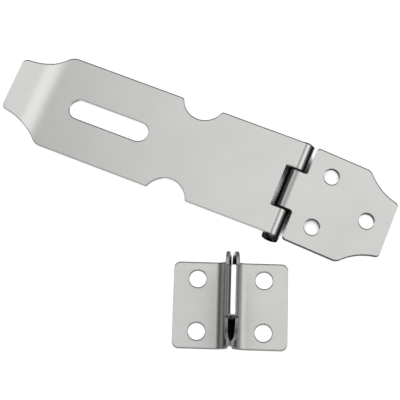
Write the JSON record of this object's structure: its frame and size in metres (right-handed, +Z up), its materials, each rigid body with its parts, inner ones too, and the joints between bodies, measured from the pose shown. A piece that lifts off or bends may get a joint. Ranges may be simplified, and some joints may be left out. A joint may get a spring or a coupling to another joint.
{
  "type": "security hasp",
  "caption": "Long steel hasp strap with a padlock slot, waist notches and a lifted finger tab, hinged to a screw leaf by rolled knuckles, with its folded padlock staple lying beside it.",
  "frame": {"origin": "middle of the staple's underside, on the surface that the set lies on", "axes": "+X along the staple's base, across its loop; +Y along the loop; +Z up. The hasp lies turned 20.5 degrees clockwise about Z, its hinge pin at X 17 mm, Y 36.1 mm"},
  "size_m": [0.1231, 0.091, 0.0255],
  "materials": {
    "satin_stainless": "satin rolled sheet",
    "staple_steel": "satin rolled sheet",
    "pin_steel": "drawn wire, peened ends"
  },
  "bodies": {
    "base": {"hinge_leaf": "satin_stainless", "hinge_pin": "pin_steel", "staple": "staple_steel"},
    "strap": {"hasp_strap": "satin_stainless"}
  },
  "joints": [
    {"name": "strap_hinge", "type": "hinge", "parent": "base", "child": "strap", "pos_m": [0.017, 0.0361, 0.00265], "axis": [0.3502, 0.9367, 0], "range_deg": [-174.6, 107.9]}
  ]
}
